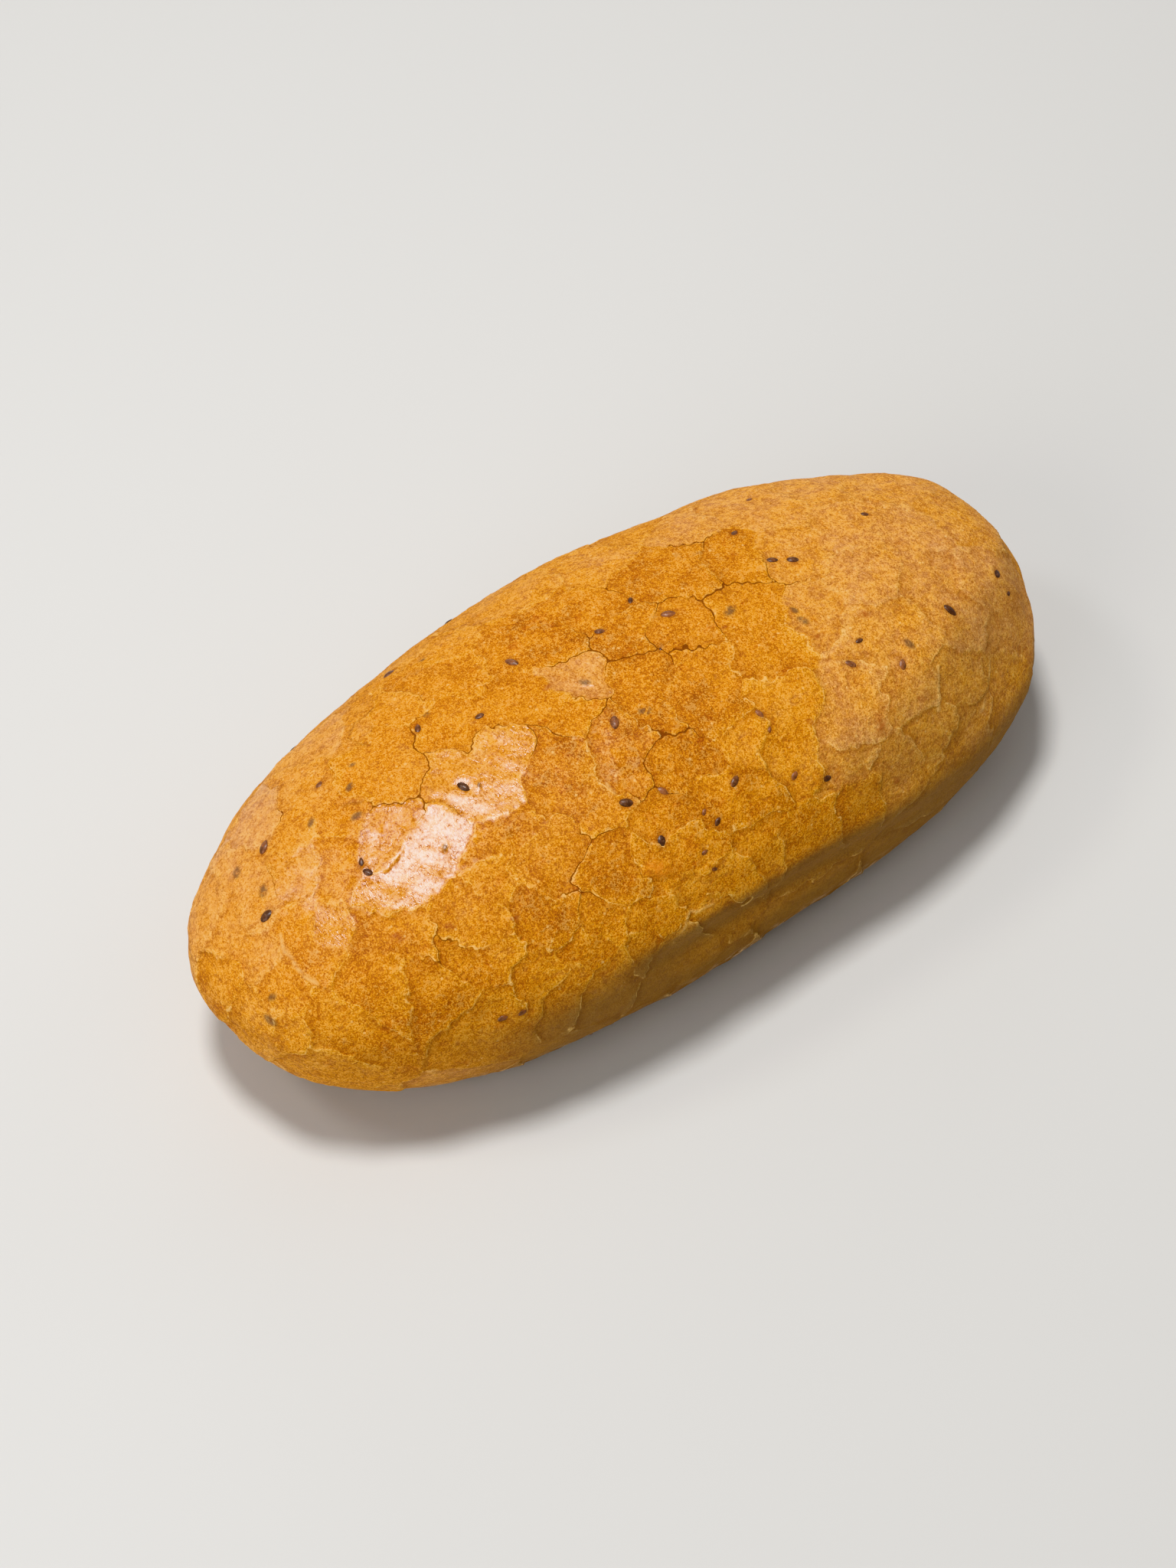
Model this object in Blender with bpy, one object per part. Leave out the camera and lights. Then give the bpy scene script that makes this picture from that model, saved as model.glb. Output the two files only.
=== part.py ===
"""Wheat-rye bread loaf: one oval hearth loaf, baked free-standing, resting on its flat sole.

Metres, +Z up. X runs along the loaf and -Y is the side with the long crease.
The origin is on the ground, under the middle of the loaf's box.

A place on the crust is given by its station, the distance along X from the middle, and its
turn round the long axis: 0 is the -Y side, 90 the top, 180 the +Y side.
"""

import math

import bmesh
import bpy
from mathutils import Vector

MM = 0.001

# The loaf before its own unevenness
LENGTH = 300 * MM
WIDTH = 139 * MM
HEIGHT = 90 * MM
GIRTH_LEVEL = 40 * MM  # height at which the loaf is widest
UNDER_DEPTH = 62 * MM  # how deep the lower half would hang if the hearth didn't flatten it
SOLE_ROUNDING = 4 * MM  # soft corner between the sole and the sides
END_BLUNTNESS = 2.34  # 2 gives an ellipse from above, more gives blunter ends
SHOULDER = 2.2  # 2 gives a round section, more gives squarer shoulders
BOW = -2.7 * MM  # how far the ends lie off the middle, towards -Y

# Quads along each edge of the box that the loaf is shaped from
CUTS_LONG = 44
CUTS_WIDE = 20
CUTS_HIGH = 18

# The crease along the -Y side, where the dough sagged over its own foot
CREASE_DEPTH = 5.5 * MM
CREASE_REACH_UP = 7 * MM
CREASE_REACH_DOWN = 17 * MM  # it opens out gently towards the foot
CREASE_LEVEL = 42 * MM  # height of the valley at the middle of the loaf
CREASE_FALL = 0.11  # how much lower the valley runs for each metre along +X
CREASE_START = -38 * MM
CREASE_END = 62 * MM
CREASE_START_FADE = 14 * MM
CREASE_END_FADE = 22 * MM
CREASE_WAVER = 1.2 * MM
CREASE_WAVES_LONG = 95 * MM

# The foot: the thin lip where the crust spread on the hearth
FOOT_LIP = 1.6 * MM
FOOT_LEVEL = 5 * MM
FOOT_HALF_HEIGHT = 4 * MM

# Swells (+) and hollows (-) of the crust: station, turn, reach, height
SWELLS = (
    (-149 * MM, 180, 15 * MM, 3.2 * MM),
    (-140 * MM, 60, 30 * MM, 1.6 * MM),
    (-143 * MM, 150, 14 * MM, 1.3 * MM),
    (-142 * MM, -36, 13 * MM, -0.2 * MM),
    (-118 * MM, -29, 14 * MM, 0.4 * MM),
    (-85 * MM, 95, 34 * MM, 1.6 * MM),
    (-75 * MM, 160, 34 * MM, -1.3 * MM),
    (-40 * MM, 20, 26 * MM, 1.8 * MM),
    (10 * MM, 60, 24 * MM, 1.3 * MM),
    (5 * MM, 155, 38 * MM, 1.9 * MM),
    (-42 * MM, -30, 14 * MM, -1.3 * MM),
    (26 * MM, -24, 34 * MM, -1.8 * MM),
    (64 * MM, -24, 20 * MM, 1.0 * MM),
    (70 * MM, 110, 22 * MM, -1.0 * MM),
    (72 * MM, 48, 26 * MM, 1.6 * MM),
    (82 * MM, 157, 26 * MM, 1.8 * MM),
    (112 * MM, -12, 22 * MM, 0.8 * MM),
    (112 * MM, 38, 16 * MM, -1.6 * MM),
    (122 * MM, 152, 14 * MM, 1.0 * MM),
    (137 * MM, 146, 15 * MM, 3.6 * MM),
    (146 * MM, 12, 17 * MM, -3.4 * MM),
)

# Upright pleats in the blunt +X end: station, turn, reach, height
PLEATS = (
    (139 * MM, 42, 8 * MM, -1.2 * MM),
    (144 * MM, 112, 9 * MM, -1.1 * MM),
    (133 * MM, 20, 8 * MM, -1.0 * MM),
)


def round_form(direction):
    """The plain oval loaf: the point of its crust that lies in this direction from its middle."""
    across = math.hypot(direction.y, direction.z)
    size = (abs(direction.x) ** END_BLUNTNESS + across**END_BLUNTNESS) ** (1 / END_BLUNTNESS)
    station, radius = direction.x / size, across / size
    turn = math.atan2(direction.z, direction.y)
    side, rise = math.cos(turn), math.sin(turn)
    squarer = (abs(side) ** SHOULDER + abs(rise) ** SHOULDER) ** (-1 / SHOULDER)
    reach = HEIGHT - GIRTH_LEVEL if rise > 0 else UNDER_DEPTH
    return Vector((
        LENGTH / 2 * station,
        WIDTH / 2 * radius * side * squarer + BOW * station**2,
        GIRTH_LEVEL + reach * radius * rise * squarer,
    ))


def outward(point):
    """The way that the crust of the plain form faces, near enough for low swells."""
    slope = Vector((
        point.x / (LENGTH / 2) ** 2,
        point.y / (WIDTH / 2) ** 2,
        (point.z - GIRTH_LEVEL) / (HEIGHT - GIRTH_LEVEL) ** 2,
    ))
    return slope.normalized()


def place(station, turn):
    """The point of the plain form at this station and turn."""
    share = abs(station) / (LENGTH / 2)
    radius = (1 - share**END_BLUNTNESS) ** (1 / END_BLUNTNESS)
    angle = math.radians(turn)
    return round_form(Vector((
        math.copysign(share, station),
        -radius * math.cos(angle),
        radius * math.sin(angle),
    )))


def bell(distance, reach):
    return math.exp(-((distance / reach) ** 2))


def fade(value, edge, width):
    """0 well below the edge, 1 well above it."""
    return 0.5 + 0.5 * math.tanh((value - edge) / width)


def swelling(point, spots):
    return sum(
        height * bell((point - centre).length, reach) for centre, reach, height in spots
    )


def crease(point):
    """The valley along the -Y side, deepest at the middle and gone towards both ends."""
    if point.y > 0:
        return 0.0
    waver = CREASE_WAVER * math.sin(2 * math.pi * point.x / CREASE_WAVES_LONG)
    level = CREASE_LEVEL - CREASE_FALL * point.x + waver
    started = fade(point.x, CREASE_START, CREASE_START_FADE)
    not_ended = fade(-point.x, -CREASE_END, CREASE_END_FADE)
    reach = CREASE_REACH_UP if point.z > level else CREASE_REACH_DOWN
    return -CREASE_DEPTH * started * not_ended * bell(point.z - level, reach)


def foot(point):
    return FOOT_LIP * bell(point.z - FOOT_LEVEL, FOOT_HALF_HEIGHT)


def flattened(height):
    """The hearth stops the dough at height 0, with a soft corner above it."""
    if height > SOLE_ROUNDING:
        return height
    if height < -SOLE_ROUNDING:
        return 0.0
    return (height + SOLE_ROUNDING) ** 2 / (4 * SOLE_ROUNDING)


def crust_point(direction, spots):
    point = round_form(direction)
    out = outward(point)
    sideways = Vector((out.x, out.y, 0))
    point = point + out * swelling(point, spots) + sideways * (crease(point) + foot(point))
    point.z = flattened(point.z)
    return point


def quad_box():
    """A box of quads with its points on the unit sphere, evenly spread, so that no pole pinches."""
    box = bmesh.new()
    bmesh.ops.create_cube(box, size=2)
    for axis, cuts in enumerate((CUTS_LONG, CUTS_WIDE, CUTS_HIGH)):
        along = [
            edge
            for edge in box.edges
            if abs(edge.verts[0].co[axis] - edge.verts[1].co[axis]) > 1
        ]
        bmesh.ops.subdivide_edges(box, edges=along, cuts=cuts - 1, use_grid_fill=True)
    for vert in box.verts:
        vert.co = Vector(math.tan(part * math.pi / 4) for part in vert.co).normalized()
    return box


def clear_scene():
    for old in list(bpy.data.objects):
        bpy.data.objects.remove(old)


def crust_material():
    material = bpy.data.materials.new("baked_crust")
    material.use_nodes = True
    shader = material.node_tree.nodes["Principled BSDF"]
    shader.inputs["Base Color"].default_value = (0.56, 0.22, 0.035, 1)
    shader.inputs["Roughness"].default_value = 0.42
    shader.inputs["Metallic"].default_value = 0
    return material


def settle(mesh):
    """Puts the middle of the loaf's box over the origin."""
    for axis in (0, 1):
        low = min(vert.co[axis] for vert in mesh.verts)
        high = max(vert.co[axis] for vert in mesh.verts)
        for vert in mesh.verts:
            vert.co[axis] -= (low + high) / 2


def build_loaf():
    spots = [
        (place(station, turn), reach, height)
        for station, turn, reach, height in SWELLS + PLEATS
    ]
    shaped = quad_box()
    for vert in shaped.verts:
        vert.co = crust_point(vert.co.copy(), spots)
    settle(shaped)
    bmesh.ops.recalc_face_normals(shaped, faces=shaped.faces)
    mesh = bpy.data.meshes.new("loaf")
    shaped.to_mesh(mesh)
    shaped.free()
    mesh.materials.append(crust_material())
    mesh.shade_smooth()
    loaf = bpy.data.objects.new("loaf", mesh)
    bpy.context.scene.collection.objects.link(loaf)
    return loaf


clear_scene()
build_loaf()
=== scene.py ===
import math

import bpy
import numpy as np
from mathutils import Matrix, Vector
from mathutils.bvhtree import BVHTree


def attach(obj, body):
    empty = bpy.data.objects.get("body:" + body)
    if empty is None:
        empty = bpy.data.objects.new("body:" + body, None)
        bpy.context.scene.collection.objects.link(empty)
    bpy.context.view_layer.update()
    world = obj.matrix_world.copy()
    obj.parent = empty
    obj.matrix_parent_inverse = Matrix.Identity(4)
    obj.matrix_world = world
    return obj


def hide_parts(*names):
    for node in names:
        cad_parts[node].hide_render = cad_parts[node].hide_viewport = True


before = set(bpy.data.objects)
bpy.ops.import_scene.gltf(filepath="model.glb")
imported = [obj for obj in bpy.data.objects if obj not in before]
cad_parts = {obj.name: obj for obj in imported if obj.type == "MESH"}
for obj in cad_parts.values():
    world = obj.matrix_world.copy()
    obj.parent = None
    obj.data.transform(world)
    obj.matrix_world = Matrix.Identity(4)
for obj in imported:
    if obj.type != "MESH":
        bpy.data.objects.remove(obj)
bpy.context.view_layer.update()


# THE CRUST
# The skin of the loaf: wheat-rye dough baked hard and golden on a hearth, brushed with starch
# water so that it dries glossy. As the loaf cools the skin shrinks and crazes into thin plates,
# which overlap like scales low on the -Y side and gape a little on the crown.

MM = 0.001
AXIS_LEVEL = 40 * MM  # height of the long axis that turns are measured round

# The show side of the loaf faces this way: degrees round from -Y, and up from the ground
SHOW_AZIMUTH = -34.65
SHOW_ELEVATION = 56
HIDDEN_FACING = 0.02  # skin that faces that way less than this, of 1, is on the hidden side

# Plates of the skin: bake (0 pale, 1 dark), gloss, then the seats that each plate grows round,
# as station in mm along X and turn in degrees: 0 is the -Y side, 90 the top and 180 the +Y side.
GLAZED_PLATES = (
    (0.58, 1.00, (-77, 71), (-91, 63), (-100, 65)),
    (0.58, 0.90, (-86, 83), (-96, 76)),
    (0.54, 0.95, (-60, 88), (-57, 74), (-47, 85)),
    # This plate's pale bake partly stands in for a painted sheen
    (0.30, 0.80, (-12, 93)),
    (0.40, 0.90, (-116, 89)),
    (0.50, 0.95, (-115, 64)),
)
SHOULDER_PLATES = (
    (0.30, 0.30, (-137, 132)),
    (0.35, 0.45, (-127, 123), (-129, 96)),
    (0.25, 0.55, (-112, 131)),
    (0.45, 0.40, (-96, 128), (-105, 112)),
    (0.50, 0.45, (-98, 100)),
    (0.30, 0.20, (-81, 138)),
    (0.40, 0.25, (-72, 130)),
    (0.62, 0.30, (-70, 121), (-77, 100), (-85, 109)),
    (0.60, 0.25, (-64, 126)),
)
CROWN_PLATES = (
    (0.66, 0.18, (-53, 106), (-37, 101), (-25, 87)),
    (0.66, 0.20, (-48, 131), (-39, 124)),
    (0.68, 0.20, (-24, 122), (-11, 115)),
    (0.56, 0.20, (-35, 136)),
    (0.76, 0.20, (8, 103)),
    (0.72, 0.20, (7, 117), (2, 121)),
    (0.72, 0.25, (26, 95)),
    (0.78, 0.20, (29, 122), (40, 115)),
    (0.72, 0.20, (52, 111)),
    (0.66, 0.20, (46, 86), (42, 69)),
    (0.68, 0.22, (19, 75), (14, 62)),
    (0.70, 0.22, (2, 84), (-4, 71)),
)
HEART_PLATES = (
    (0.74, 0.35, (-33, 73), (-41, 64), (-34, 53)),
    (0.76, 0.35, (-18, 60), (-13, 69)),
    (0.68, 0.30, (-66, 60), (-58, 58)),
    (0.66, 0.35, (-70, 51)),
    (0.68, 0.40, (-52, 49), (-59, 46)),
    (0.80, 0.20, (-2, 51), (-8, 51)),
    (0.56, 0.10, (15, 49)),
    (0.56, 0.15, (36, 52), (29, 43)),
    (0.72, 0.20, (-2, 39), (-15, 41), (10, 36)),
    (0.72, 0.30, (-37, 39), (-39, 32)),
    (0.72, 0.25, (-26, 33), (-16, 30)),
)
SIDE_PLATES = (
    (0.66, 0.35, (-82, 45), (-79, 38)),
    (0.80, 0.35, (-64, 37), (-64, 30)),
    (0.70, 0.30, (-82, 27), (-89, 31)),
    (0.66, 0.35, (-98, 45), (-106, 50)),
    (0.66, 0.30, (-117, 40), (-112, 32)),
    (0.62, 0.25, (-130, 26), (-122, 17)),
    (0.68, 0.30, (-97, 22), (-102, 27)),
    (0.60, 0.20, (-86, 13)),
    (0.60, 0.45, (-109, 77), (-102, 84)),
    (0.60, 0.40, (-124, 53), (-123, 69)),
    (0.40, 0.40, (-138, 91), (-135, 68)),
    (0.55, 0.30, (-147, 66)),
    (0.60, 0.30, (-135, 48)),
    (0.50, 0.25, (-145, 30)),
    (0.55, 0.25, (-138, 24)),
    (0.50, 0.20, (-133, -2)),
)
SCALE_PLATES = (
    (0.67, 0.20, (-70, 18)),
    (0.67, 0.20, (-63, 13)),
    (0.69, 0.20, (-56, 21)),
    (0.69, 0.20, (-48, 26)),
    (0.65, 0.20, (-33, 21)),
    (0.62, 0.20, (-40, 16)),
    (0.62, 0.20, (-50, 11)),
    (0.57, 0.10, (-15, 13)),
    (0.57, 0.10, (-20, 23), (-7, 20)),
    (0.52, 0.10, (-28, 5)),
    (0.67, 0.20, (6, 24)),
    (0.62, 0.15, (25, 20)),
    (0.62, 0.15, (45, 19)),
)
BLUNT_END_PLATES = (
    (0.30, 0.12, (58, 46), (52, 37)),
    (0.31, 0.12, (44, 29)),
    (0.30, 0.12, (73, 36)),
    (0.30, 0.12, (93, 29)),
    (0.28, 0.15, (113, 16)),
    (0.32, 0.20, (89, 15)),
    (0.32, 0.12, (75, 23)),
    (0.32, 0.12, (61, 19)),
    (0.32, 0.12, (76, 6)),
    (0.32, 0.12, (61, 75)),
    (0.31, 0.12, (71, 58), (84, 51)),
    (0.31, 0.12, (85, 79)),
    (0.28, 0.12, (104, 63), (103, 46)),
    (0.37, 0.15, (71, 105)),
    (0.30, 0.12, (94, 104)),
    (0.25, 0.12, (112, 93)),
    (0.21, 0.20, (123, 51)),
    (0.23, 0.15, (121, 27)),
)
RIM_PLATES = (
    (0.48, 0.12, (-45, 155)),
    (0.48, 0.12, (-13, 147), (0, 144)),
    (0.48, 0.12, (17, 144), (21, 134)),
    (0.48, 0.12, (43, 150)),
    (0.32, 0.12, (54, 139)),
    (0.32, 0.12, (74, 141), (80, 129)),
    (0.32, 0.12, (99, 137)),
    (0.32, 0.12, (118, 129)),
    (0.32, 0.12, (128, 92)),
)
HAND_PLATES = (
    GLAZED_PLATES
    + SHOULDER_PLATES
    + CROWN_PLATES
    + HEART_PLATES
    + SIDE_PLATES
    + SCALE_PLATES
    + BLUNT_END_PLATES
    + RIM_PLATES
)
# The plates that fill the far side and the ends
PLAIN_PLATE_SPACING = 20  # mm
PLAIN_PLATE_BAKE = (0.28, 0.42)
PLAIN_PLATE_GLOSS = 0.15

# Where the cracks gape: station, turn, and how far
GAPES = (
    (-81, 90, 1.0),
    (-77, 90, 1.0),
    (-71, 95, 0.9),
    (-67, 99, 0.9),
    (-64, 107, 0.8),
    (-59, 123, 0.4),
    (-51, 95, 0.3),
    (-44, 91, 0.3),
    (-33, 82, 0.7),
    (-27, 83, 0.5),
    (-20, 83, 0.4),
    (-13, 83, 0.4),
    (-13, 101, 0.7),
    (-6, 101, 0.8),
    (3, 94, 0.8),
    (8, 92, 1.0),
    (12, 90, 1.0),
    (19, 89, 0.8),
    (25, 88, 0.7),
    (32, 91, 1.0),
    (37, 96, 0.9),
    (43, 97, 1.0),
    (48, 98, 0.9),
    (54, 100, 0.9),
    (62, 94, 0.5),
    (29, 116, 0.5),
    (26, 107, 0.5),
    (-1, 58, 0.9),
    (-7, 59, 0.9),
    (-11, 55, 1.0),
    (-14, 51, 0.8),
    (-50, 41, 0.5),
    (-49, 36, 0.4),
    (-43, 46, 0.3),
    (-35, 47, 0.3),
    (48, 131, 0.5),
    (51, 127, 0.5),
    (-91, 41, 0.15),
    (-93, 36, 0.2),
    (-4, 106, 0.4),
    (14, 120, 0.3),
)
GAPE_REACH = 5  # mm round each of these places
GAPE_AT_REST = -0.42  # how far a crack gapes elsewhere: below 0 it has healed to a hairline
GAPE_BY_PLATES = 0.45  # how much that varies from one pair of plates to the next
GAPE_RIPPLE = (14, 0.25)  # and along a crack: distance between its changes, and how much
LOW_HEALING = 0.35  # how much tighter the cracks are low on the sides
BLUNT_END_HEALING = 0.3
FAR_SIDE_HEALING = 0.6
GAPE_LIFT = 0.35  # with these, a place listed above wins over the crack's own gape
GAPE_GAIN = 1.5
GAPE_LOSS = 0.4

# Seeds in the crust: station, turn, length in mm, and the way the seed lies, in degrees from +X
# to +Y seen from above. Bare seeds stand in a pit, and veiled ones lie under the skin.
BARE_SEEDS = (
    (-94, 121, 3.4, 20),
    (-117, 119, 4.0, 25),
    (-99, 78, 3.2, 60),
    (-99, 73, 3.4, -60),
    (-128, 86, 4.4, 5),
    (-62, 82, 4.2, -70),
    (-44, 103, 3.2, 0),
    (-61, 113, 3.6, 60),
    (-25, 116, 4.8, -60),
    (18, 114, 3.0, 50),
    (3, 108, 3.4, -30),
    (24, 101, 4.6, -25),
    (14, 90, 2.4, 40),
    (-13, 74, 4.4, 65),
    (-21, 37, 4.6, 70),
    (-24, 50, 4.4, -30),
    (-13, 48, 4.0, -60),
    (8, 41, 4.0, 30),
    (26, 34, 3.6, 40),
    (35, 29, 3.4, -20),
    (68, 57, 2.8, 0),
    (61, 52, 4.2, -50),
    (76, 44, 3.6, 65),
    (103, 49, 4.8, -60),
    (64, 103, 3.6, -25),
    (70, 99, 4.0, -30),
    (26, 53, 3.4, -75),
    (-11, 29, 2.4, 10),
    (-3, 34, 3.0, 40),
    (-5, 38, 2.2, 50),
    (-10, 24, 2.4, -40),
    (-85, 11, 3.4, 15),
    (-79, 11, 3.2, 30),
    (-52, 148, 4.0, 10),
    (-87, 160, 3.6, 0),
    (62, 123, 3.0, 20),
    (103, 108, 3.0, -30),
    (129, 50, 3.8, 40),
    (129, 39, 2.4, 10),
    (78, 139, 2.2, 0),
    (26, 48, 2.0, 50),
)
VEILED_SEEDS = (
    (-103, 108, 3.8, 40),
    (-92, 96, 4.0, 0),
    (-125, 99, 4.6, 60),
    (-142, 31, 5.0, -80),
    (-88, 109, 3.6, 30),
    (-3, 72, 4.4, -30),
    (40, 90, 5.2, 20),
    (57, 78, 3.2, -70),
    (57, 73, 4.4, -60),
    (82, 48, 4.4, -70),
    (-12, 93, 4.0, -50),
    (-43, 141, 2.6, 0),
    (-56, 116, 2.4, 20),
    (-127, 123, 4.6, 70),
    (-77, 66, 2.8, 50),
    (-58, 79, 2.2, 60),
    (-139, 44, 3.4, 0),
    (-83, 117, 2.6, 0),
    (91, -3, 3.0, 0),
)
RUSTY_SPOTS = (
    (75, 64, 4.6, -30),
    (76, 33, 3.6, -40),
    (59, 33, 5.6, 60),
    (39, 44, 3.2, -50),
    (-22, 99, 3.6, 20),
    (-102, 47, 5.0, -30),
    (-71, 37, 3.2, 0),
    (58, 17, 3.2, 30),
    (58, 65, 3.6, 0),
    (35, 85, 2.2, 0),
    (-88, 43, 3.6, -30),
)
FAR_SEEDS = 46  # more bare seeds, strewn over the far side and the ends
FAR_SEED_LENGTH = (2.6, 4.6)

# The blister: station, turn, length in mm, and the way it lies
BLISTER = (-26, 31, 9, -35)
BLISTER_HEIGHT = 1.1

# Cracks are jagged at four sizes: distance between turns, how far they stray, random seed
CRACK_JAGS = ((22, 2.0, 1), (9, 1.2, 2), (4, 0.5, 3), (2, 0.2, 6))
LINE_JAGS = (6, 0.5, 4)  # the same for lips and folds
JAG_WAVES = 6
JAG_PHASES = (0, 6.28)
JAG_SPREAD = (0.8, 1.3)
JAG_SCALE = 0.694  # makes that many waves together stray about as far as asked
RIPPLE_WAVES = 10
RIPPLE_SPREAD = (0.7, 1.4)
RIPPLE_SCALE = 4  # brings that many waves together to about -1 to 1

# Relief of the skin, in mm
SWELL = ((18, 0.22), (7, 0.11), (3, 0.05))  # distance between bumps, height
PLATE_LEVEL = 0.05
PLATE_TILT = 0.008
CROWN_TILT = 0.005  # the plates lap like scales, with their lower edges proud
SCALE_TILT = 0.017  # and more so low on the sides
TILT_WAY = (0.55, -0.45, -0.6)  # the plates rise this way
MOST_STEP = 0.35  # between a plate and the loaf's own roundness
STEP_WIDTH = 0.45
FAR_FROM_CRACKS = 9  # past this the material counts a point as no farther from a crack
SOLE_RIFT = 3  # and counts the sole as at least this far from one
GROOVE_HALF_WIDTH = 0.5
HAIRLINE_DEPTH = 0.02
GAPE_DEPTH = 0.36
CURL_REACH = 1.8
HEALED_CURL = 0.02  # how far the edges beside a crack curl up
GAPING_CURL = 0.14  # and how much more where it gapes
CLEAR_STEP = 0.12  # between two plates, which makes the higher one's edge stand proud
LIP_HEIGHT = 0.17  # how far a proud edge curls up
CROWN_LIP_SHARE = 0.3  # of that on the crown, where the lips are low
LIP_REACH = 2.2
BARE_SEED_RIM = 0.18  # how far the skin is pushed up round a bare seed
BARE_SEED_PIT = 0.34
VEILED_SEED_SWELL = 0.30
RUSTY_SPOT_SWELL = 0.08

# How far these reach, where 1 is the outline of the lying seed
OUTLINE_SLENDERNESS = 3.4  # the outline's length over half its width
RIM_REACH = 2.2
PIT_REACH = 1.1
HALO_REACH = 1.35
VEIL_FADE = (0.55, 1.35)
RUST_REACH = 1.2
RUST_FADE = (0.4, 1.5)
BLISTER_REACH = 1.3
BLISTER_FADE = (0.5, 1.3)

FLATNESS = 0.14  # how much of the loaf's roundness a dull plate takes out as the skin shrinks
GLAZED_FLATNESS = 0.26  # and how much more a glossy one
BAKE_SPREAD = 0.04  # how far the bake strays from plate to plate
SHOULDER_PAINTED_SHADE = 0.42  # painted shade on the blunt end's shoulder, where the painted shade under the girth has 1

# Where the skin changes, in mm: heights over the hearth, stations along X, and places along Y
TILT_LEVELS = (86, 62)
LIP_LEVELS = (86, 66)
HEALING_LEVELS = (55, 35)
HEALING_STATIONS = (50, 85)
HEALING_SIDE = (30, 60)
# The painted light and shade at plate edges fade over these stations and places
EDGE_LIGHT_AND_SHADE_STATIONS = (40, 80)
EDGE_LIGHT_AND_SHADE_SIDE = (5, -25)
# The painted shade under the girth fades in over these stations and places
PAINTED_SHADE_STATIONS = (-110, -60)
PAINTED_SHADE_SIDE = (15, -20)
# The painted shade on the blunt end's shoulder fades in over these heights and stations
SHOULDER_SHADE_LEVELS = (50, 63)
SHOULDER_SHADE_STATIONS = (25, 60)
SOLE_LEVELS = (0.3, 3)

# The skin's mesh is twice as fine this near, in mm, to the cracks, the seeds and the lines
CRACK_SPLIT_REACH = 0.25
SEED_SPLIT_REACH = 2.8
LINE_SPLIT_REACH = 1.4
SOLE_LEVEL = 0.5  # and never on the sole, which ends at this height
ROUNDING_LEVELS = 2


def way_out(azimuth, elevation):
    """The direction this many degrees round from -Y, and up from the ground."""
    angle = math.radians(azimuth)
    rise = math.radians(elevation)
    return Vector((
        math.sin(angle) * math.cos(rise),
        -math.cos(angle) * math.cos(rise),
        math.sin(rise),
    ))


def skin_copy():
    """The smooth skin before it crazes: the loaf's solid, merged and rounded."""
    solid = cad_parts["loaf"]
    bpy.ops.object.select_all(action="DESELECT")
    skin = bpy.data.objects.new("crust", solid.data.copy())
    bpy.context.scene.collection.objects.link(skin)
    bpy.context.view_layer.objects.active = skin
    skin.select_set(True)
    bpy.ops.mesh.customdata_custom_splitnormals_clear()
    bpy.ops.object.mode_set(mode="EDIT")
    bpy.ops.mesh.select_all(action="SELECT")
    bpy.ops.mesh.remove_doubles(threshold=0.01 * MM)
    bpy.ops.mesh.tris_convert_to_quads()
    bpy.ops.object.mode_set(mode="OBJECT")
    rounding = skin.modifiers.new("rounding", "SUBSURF")
    rounding.levels = ROUNDING_LEVELS
    rounding.render_levels = ROUNDING_LEVELS
    bpy.ops.object.modifier_apply(modifier="rounding")
    return skin


def points_of(mesh):
    """The mesh's points, in mm."""
    flat = np.empty(len(mesh.vertices) * 3)
    mesh.vertices.foreach_get("co", flat)
    return flat.reshape(-1, 3) / MM


def normals_of(mesh):
    flat = np.empty(len(mesh.vertices) * 3)
    mesh.vertex_normals.foreach_get("vector", flat)
    return flat.reshape(-1, 3)


def spot_on_crust(station, turn):
    """The point of the crust, in mm, at a station and a turn, and the way that it faces."""
    angle = math.radians(turn)
    out = Vector((0, -math.cos(angle), math.sin(angle)))
    start = Vector((station * MM, 0, AXIS_LEVEL)) + out
    point, facing, _, _ = smooth_skin.ray_cast(start, -out)
    return np.array(point) / MM, np.array(facing)


def jags(points, length, height, seed):
    """A jagged shift of each point, about this far, that turns every few lengths."""
    random = np.random.default_rng(seed)
    shift = np.zeros_like(points)
    for _ in range(JAG_WAVES):
        along = random.normal(size=3)
        along /= np.linalg.norm(along)
        aside = random.normal(size=3)
        aside /= np.linalg.norm(aside)
        phase = random.uniform(*JAG_PHASES)
        wave = length * random.uniform(*JAG_SPREAD)
        zigzag = 2 / np.pi * np.arcsin(np.sin(2 * np.pi * (points @ along) / wave + phase))
        shift += aside * zigzag[:, None]
    return shift * height * JAG_SCALE


def bent(points):
    """Points shifted so that straight borders between plates turn into cracks."""
    moved = points
    for length, height, seed in CRACK_JAGS:
        moved = moved + jags(points, length, height, seed)
    return moved


def ripple(points, length, seed):
    """A soft unevenness from about -1 to 1, with bumps about this far apart."""
    random = np.random.default_rng(seed)
    total = np.zeros(len(points))
    for _ in range(RIPPLE_WAVES):
        way = random.normal(size=3)
        way /= np.linalg.norm(way)
        wave = length * random.uniform(*RIPPLE_SPREAD)
        phase = random.uniform(0, 2 * np.pi)
        total += np.sin(2 * np.pi * (points @ way) / wave + phase)
    return total / RIPPLE_SCALE


def soft_step(values, low, high):
    """0 below low, 1 above high, and a soft slope between."""
    share = np.clip((values - low) / (high - low), 0, 1)
    return share * share * (3 - 2 * share)


def soft_fall(values, high, low):
    """0 above high, 1 below low, and a soft slope between."""
    return soft_step(-values, -high, -low)


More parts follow.
